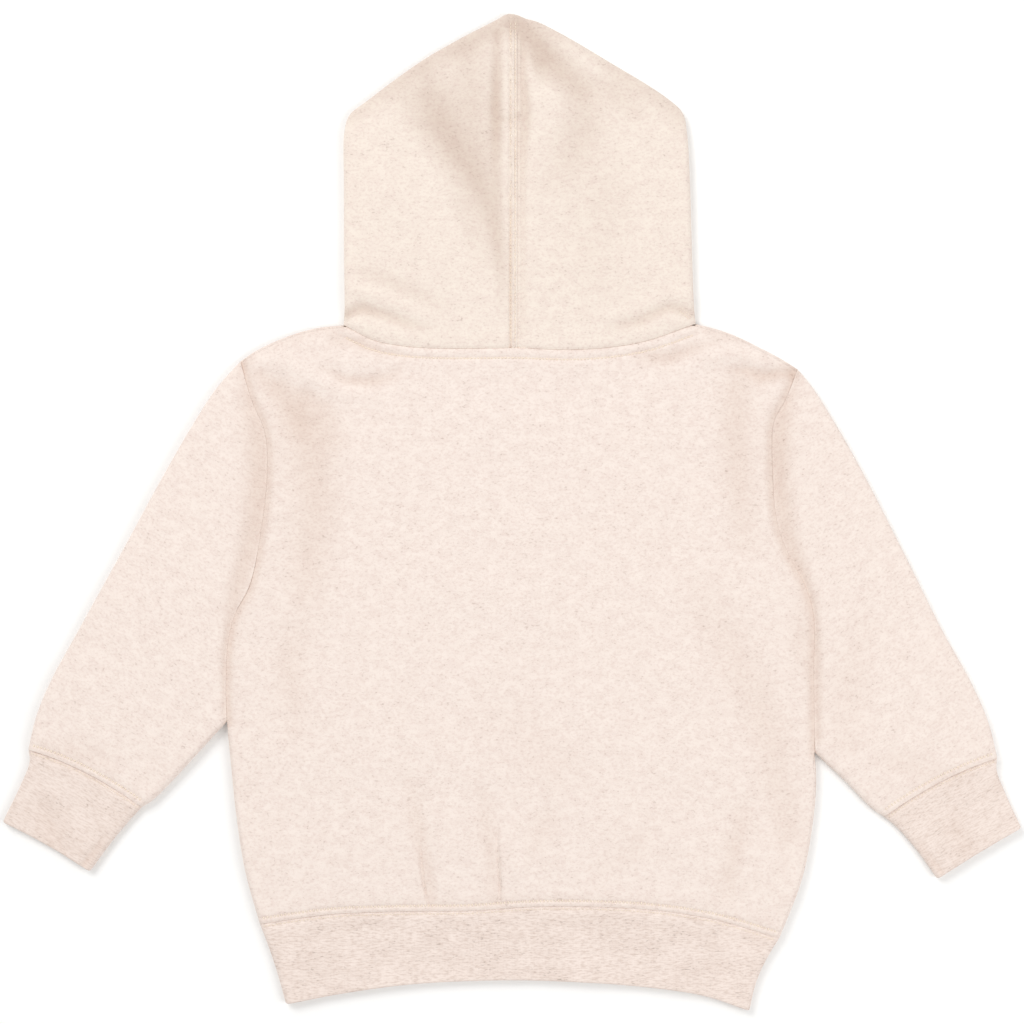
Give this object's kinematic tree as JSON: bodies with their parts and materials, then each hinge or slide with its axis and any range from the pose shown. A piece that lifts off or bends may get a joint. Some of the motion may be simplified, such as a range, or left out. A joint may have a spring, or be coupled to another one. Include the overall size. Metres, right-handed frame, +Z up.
{
  "type": "toddler hoodie",
  "caption": "Toddler's pullover fleece hoodie laid flat with its back up: body, sleeves with rib cuffs, rib waistband and a hood with a seam down its middle.",
  "frame": {"origin": "middle of the underside, on the surface that the garment lies on", "axes": "+Z up out of the surface, +Y towards the hood, +X to the right as seen from above"},
  "size_m": [0.6228, 0.6088, 0.0078],
  "materials": {
    "fleece": "brushed heather fleece, matt with a soft nap",
    "rib": "marled rib knit, matt"
  },
  "bodies": {
    "root": {"back_panel": "fleece", "front_panel": "fleece", "sleeve_left": "fleece", "sleeve_right": "fleece", "hood_left": "fleece", "hood_right": "fleece", "cuff_left": "rib", "cuff_right": "rib", "waistband": "rib"}
  },
  "joints": []
}
